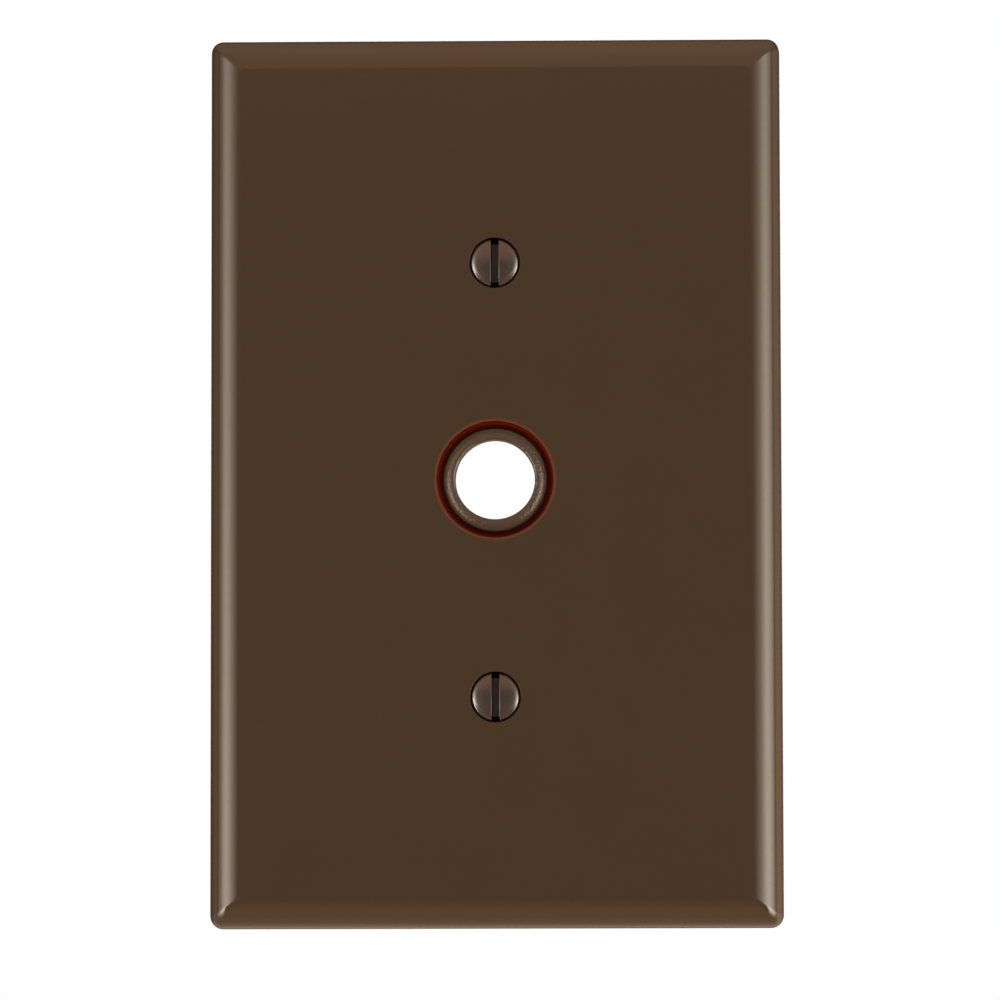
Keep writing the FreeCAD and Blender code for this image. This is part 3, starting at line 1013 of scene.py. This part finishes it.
@dataclass
class Finishes:
    """The materials of the plate and its screws, which share one texture."""

    plate: MouldedPlate
    screw: OvalHeadScrew
    slope_light_boost: float = 1.05
    bead_roughness: float = 0.22
    shade_roughness: float = 0.85
    filed_roughness: float = 0.42
    pit_depth: float = 0.11
    under_roughness: float = 0.7
    steel_roughness: float = 0.15
    texture: bpy.types.NodeTree = field(init=False)

    def __post_init__(self) -> None:
        """Makes the shared node group."""
        self.texture = texture_group()

    def start(
        self, paint: Paint, places: bpy.types.NodeTree
    ) -> tuple[bpy.types.Material, NodeSheet, object, object, bpy.types.NodeSocket]:
        """Starts a material with its roughness and uneven colour.

        Args:
            paint: The finish.
            places: The group of masks that it uses.

        Returns:
            The material, its sheet, the outputs of the texture, the masks and the colour.
        """
        material = bpy.data.materials.new(paint.name)
        material.use_nodes = True
        material.diffuse_color = (*paint.colour, 1.0)
        sheet = NodeSheet(material.node_tree)
        texture = sheet.add("ShaderNodeGroup", node_tree=self.texture).outputs
        masks = sheet.add("ShaderNodeGroup", node_tree=places).outputs
        shader = material.node_tree.nodes["Principled BSDF"]
        shader.inputs["Roughness"].default_value = paint.roughness
        shader.inputs["IOR"].default_value = paint.index
        shift = sheet.math("MULTIPLY_ADD", texture["Mottle"], paint.mottle, 1.0)
        return material, sheet, texture, masks, sheet.scaled(paint.colour, shift)

    def bump(self, sheet: NodeSheet, height: bpy.types.NodeSocket, rise: float) -> None:
        """Gives a material its fine relief.

        Args:
            sheet: The material's sheet.
            height: The relief, from 0 to 1.
            rise: Its height in millimetres.
        """
        bump = sheet.add("ShaderNodeBump")
        bump.inputs["Strength"].default_value = 1.0
        bump.inputs["Distance"].default_value = rise * MM
        sheet.feed(height, bump.inputs["Height"])
        sheet.feed(bump.outputs[0], sheet.tree.nodes["Principled BSDF"].inputs["Normal"])

    def moulding(self) -> bpy.types.Material:
        """The brown moulding, with a rough bead and a web that glows a deep red.

        Returns:
            The material.
        """
        material, sheet, texture, masks, colour = self.start(MOULDING, plate_places(self.plate))
        shader = material.node_tree.nodes["Principled BSDF"]
        # Painted light: the colour of the ring's outer slope is brightened where the groove shades it, as
        # if light came through the thin moulding.
        colour = sheet.scaled(colour, sheet.math("MULTIPLY_ADD", masks["Slope"], self.slope_light_boost, 1.0))
        # Painted shade: dark red over the thin web in the groove, and a deep shade in the countersinks.
        colour = sheet.mix(masks["Web"], colour, WEB_SHADE_AND_GLOW)
        colour = sheet.mix(masks["Sink"], colour, GAP_SHADE)
        sheet.feed(colour, shader.inputs["Base Color"])
        # Painted shade: the countersinks and the mouth's wall become a dark metal, so they send back hardly
        # any light.
        shade = sheet.math("ADD", masks["Sink"], masks["Wall"])
        sheet.feed(shade, shader.inputs["Metallic"])
        rough = sheet.math("MULTIPLY_ADD", masks["Bead"], self.bead_roughness, MOULDING.roughness)
        rough = sheet.math("MULTIPLY_ADD", shade, self.shade_roughness, rough)
        rough = sheet.math("MULTIPLY_ADD", masks["Filed"], self.filed_roughness, rough)
        sheet.feed(rough, shader.inputs["Roughness"])
        grain = sheet.math("MULTIPLY", texture["Grain"], MOULDING.relief)
        pits = sheet.math("MULTIPLY", texture["Pits"], masks["Bead"])
        self.bump(sheet, sheet.math("MULTIPLY_ADD", pits, self.pit_depth, grain), 1.0)
        # Painted light: the web and the mouth's rim give off a red glow of their own.
        glow = sheet.mix(masks["Glow"], BLACK, WEB_GLOW)
        glow = sheet.mix(masks["Rim"], glow, RIM_GLOW)
        sheet.feed(glow, shader.inputs["Emission Color"])
        shader.inputs["Emission Strength"].default_value = 1.0
        return material

    def screw_paint(self) -> bpy.types.Material:
        """The brown paint of the heads, with painted shade inside the slot and under the head, and the bare
        steel of the shanks.

        Returns:
            The material.
        """
        material, sheet, texture, masks, colour = self.start(SCREW_PAINT, screw_places(self.screw))
        shader = material.node_tree.nodes["Principled BSDF"]
        # Painted shade: deep under the head and on the slot's walls, lighter on the slot's floor.
        for label, tone in (("Under", GAP_SHADE), ("Slot", SLOT_FLOOR_SHADE), ("Shank", BARE_STEEL)):
            colour = sheet.mix(masks[label], colour, tone)
        sheet.feed(colour, shader.inputs["Base Color"])
        # Painted shade: the shaded parts become a dark metal, so they send back hardly any light.
        shade = sheet.math("SUBTRACT", masks["Under"], masks["Slot"])
        sheet.feed(sheet.math("MAXIMUM", masks["Shank"], shade), shader.inputs["Metallic"])
        dull = sheet.math("SUBTRACT", self.under_roughness, masks["Shank"])
        dull = sheet.math("MULTIPLY", masks["Under"], dull)
        steel = sheet.math("MULTIPLY", masks["Shank"], self.steel_roughness)
        rough = sheet.math("ADD", sheet.math("MAXIMUM", dull, steel), SCREW_PAINT.roughness)
        sheet.feed(rough, shader.inputs["Roughness"])
        self.bump(sheet, texture["Grain"], SCREW_PAINT.relief)
        return material


# The two soft boxes and what stands behind them, by the compass angle from the front.
BOX_LEVELS = {
    Tint.BOX: (
        (-80, 0.25), (-72, 0.57), (-64, 0.80), (-55, 0.83), (-47, 0.75), (-39, 0.51), (-31, 0.33),
        (-23, 0.165), (21, 0.12), (29, 0.23), (37, 0.35), (45, 0.58), (53, 0.82), (61, 0.99), (69, 0.96),
        (77, 0.76), (85, 0.56),
    ),
    Tint.PALE: ((-88, 0.19), (94, 0.28)),
    Tint.WARM: (
        (-136, 0.01), (-120, 0.04), (-103, 0.075), (-96, 0.01), (-14, 0.03), (0, 0.0), (12, 0.03),
        (100, 0.08), (108, 0.205), (117, 0.15), (133, 0.1), (149, 0.037), (170, 0.012),
    ),
}
# The dim warm room below and above, by the angle from the front over the top.
WALL_LEVELS = {
    Tint.WARM: ((-179, 0.2), (-121, 0.66)),
    Tint.PALE: ((-169, 0.32), (-153, 0.47), (-137, 0.67)),
    Tint.ROOM: (
        (-89, 0.82), (-57, 0.79), (-41, 0.59), (-25, 0.36), (-9, 0.13), (9.1, 0.02), (9.9, 0.66),
        (24, 0.8), (50, 0.85),
    ),
    Tint.WALL: (
        (-105, 0.72), (75, 0.85), (92, 0.75), (104, 0.5), (116, 0.42), (131, 0.22), (148, 0.02),
        (179, 0.0),
    ),
}


@dataclass
class Studio:
    """The camera, floor, lamp and surroundings. Lengths in metres, angles in degrees."""

    aim: tuple[float, float, float] = (0.0006772, -0.0065, -0.0028994)
    distance: float = 0.91
    rise: float = -4.8291
    turn: float = 1.2638
    roll: float = -0.1094
    lens: float = 236.8134
    sensor: float = 36.0
    clip: tuple[float, float] = (0.01, 20.0)
    floor_height: float = -0.13
    floor_size: float = 6.0
    floor_tone: float = 0.86
    floor_fade: tuple[float, float] = (1.6, 0.5)
    lamp_place: tuple[float, float, float] = (0.0, -0.3, 0.9)
    lamp_size: float = 0.7
    lamp_power: float = 1.0
    lamp_tilt: float = -18.0
    room_light: float = 0.95
    box_light: float = 13.06
    box_centre: float = -14.0
    box_spread: float = 15.5
    flag_rise: tuple[float, float] = (-17.0, -5.0)
    flag_turn: tuple[float, float] = (46.5, 50.5)
    wall_sides: tuple[float, float] = (0.97, 0.75)
    least_span: float = 0.001

    def camera(self) -> None:
        """Places the camera where the photograph was taken from."""
        rise, turn, roll = (math.radians(angle) for angle in (self.rise, self.turn, self.roll))
        back = Vector((math.sin(turn) * math.cos(rise), -math.cos(turn) * math.cos(rise), math.sin(rise)))
        level = (-back).cross(Vector((0, 0, 1))).normalized()
        top = level.cross(-back)
        right = math.cos(roll) * level + math.sin(roll) * top
        above = -math.sin(roll) * level + math.cos(roll) * top
        bpy.ops.object.camera_add(location=Vector(self.aim) + back * self.distance)
        camera = bpy.context.object
        camera.rotation_euler = Matrix((right, above, back)).transposed().to_euler()
        camera.data.lens = self.lens
        camera.data.sensor_width = self.sensor
        camera.data.clip_start, camera.data.clip_end = self.clip
        bpy.context.scene.camera = camera

    def floor(self) -> None:
        """Lays a pale floor that fades out far away and can't be seen from beneath."""
        bpy.ops.mesh.primitive_plane_add(size=self.floor_size, location=(0, 0, self.floor_height))
        floor = bpy.context.object
        floor.name = "floor"
        floor.visible_glossy = False
        material = bpy.data.materials.new("pale_floor")
        material.use_nodes = True
        sheet = NodeSheet(material.node_tree)
        shader = material.node_tree.nodes["Principled BSDF"]
        tone = self.floor_tone
        shader.inputs["Base Color"].default_value = (tone, tone, tone, 1.0)
        shader.inputs["Roughness"].default_value = 1.0
        shader.inputs["Specular IOR Level"].default_value = 0.0
        place = sheet.add("ShaderNodeTexCoord").outputs["Object"]
        length = sheet.add("ShaderNodeVectorMath", place, operation="LENGTH").outputs["Value"]
        near = sheet.between(length, *self.floor_fade)
        above = sheet.math("SUBTRACT", 1.0, sheet.add("ShaderNodeNewGeometry").outputs["Backfacing"])
        sheet.feed(sheet.math("MULTIPLY", near, above), shader.inputs["Alpha"])
        dress(floor, material)

    def lamp(self) -> None:
        """Hangs one soft lamp overhead, which only softens the shadow."""
        bpy.ops.object.light_add(type="AREA", location=self.lamp_place)
        lamp = bpy.context.object
        lamp.name = "soft_lamp"
        lamp.data.shape = "SQUARE"
        lamp.data.size = self.lamp_size
        lamp.data.energy = self.lamp_power
        lamp.visible_glossy = False
        lamp.rotation_euler = (math.radians(self.lamp_tilt), 0.0, 0.0)

    def surroundings(self) -> None:
        """Sets the world: white behind the object, soft boxes and a room in its gloss, else even light."""
        world = bpy.data.worlds.new("studio")
        bpy.context.scene.world = world
        world.use_nodes = True
        world.cycles.sampling_method = "NONE"
        sheet = NodeSheet(world.node_tree)
        across, inward, up = sheet.axes("Generated")
        forward = sheet.math("MULTIPLY", inward, -1.0)
        turn, pitch = (
            sheet.math("DIVIDE", sheet.math("ARCTAN2", part, forward), 2 * math.pi) for part in (across, up)
        )
        rise = sheet.math("ARCSINE", up)
        height = sheet.math("SUBTRACT", rise, math.radians(self.box_centre))
        height = sheet.math("DIVIDE", height, math.radians(self.box_spread))
        square = sheet.math("MULTIPLY", height, height)
        bell = sheet.math("EXPONENT", sheet.math("MULTIPLY", square, -0.5))
        above = sheet.between(rise, *(math.radians(angle) for angle in self.flag_rise))
        aside = sheet.between(sheet.math("ABSOLUTE", turn), *(angle / 360 for angle in self.flag_turn))
        bell = sheet.math("MULTIPLY", bell, sheet.math("MAXIMUM", above, aside))
        boxes = sheet.ramp(sheet.math("ADD", turn, 0.5), BOX_LEVELS)
        span = sheet.math("MAXIMUM", sheet.reach(across, up), self.least_span)
        sideways = sheet.math("DIVIDE", sheet.math("ABSOLUTE", across), span)
        walls = sheet.ramp(sheet.math("ADD", pitch, 0.5), WALL_LEVELS)
        boxes = sheet.scaled(boxes, sheet.math("MULTIPLY", bell, self.box_light))
        walls = sheet.scaled(walls, sheet.between(sideways, *self.wall_sides))
        total = sheet.add("ShaderNodeVectorMath", boxes, walls, operation="ADD")
        path = sheet.add("ShaderNodeLightPath").outputs
        even = (self.room_light, self.room_light, self.room_light, 1.0)
        light = sheet.mix(path["Is Glossy Ray"], even, total.outputs[0])
        seen = sheet.math("MAXIMUM", path["Is Camera Ray"], path["Is Transmission Ray"])
        light = sheet.mix(seen, light, WHITE)
        sheet.feed(light, world.node_tree.nodes["Background"].inputs["Color"])

    def build(self) -> None:
        """Sets up the whole studio."""
        self.camera()
        self.floor()
        self.lamp()
        self.surroundings()
        bpy.context.scene.view_settings.view_transform = "Standard"


def main() -> None:
    """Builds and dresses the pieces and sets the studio."""
    logging.basicConfig(level=logging.INFO, format="%(message)s")
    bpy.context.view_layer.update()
    plate_maker = MouldedPlate()
    screw_maker = OvalHeadScrew()
    finishes = Finishes(plate_maker, screw_maker)
    plate = plate_maker.build()
    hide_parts("wall_plate")
    upper = screw_maker.build("upper_slotted_screw", plate_maker.screw_height)
    lower = screw_maker.copy(upper, "lower_slotted_screw", -2 * plate_maker.screw_height)
    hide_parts("upper_screw")
    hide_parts("lower_screw")
    dress(plate, finishes.moulding())
    paint = finishes.screw_paint()
    for screw in (upper, lower):
        dress(screw, paint)
    for piece in (plate, upper, lower):
        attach(piece, BODY)
        log.info("%s: %d faces", piece.name, len(piece.data.polygons))
    Studio().build()


if __name__ == "__main__":
    main()
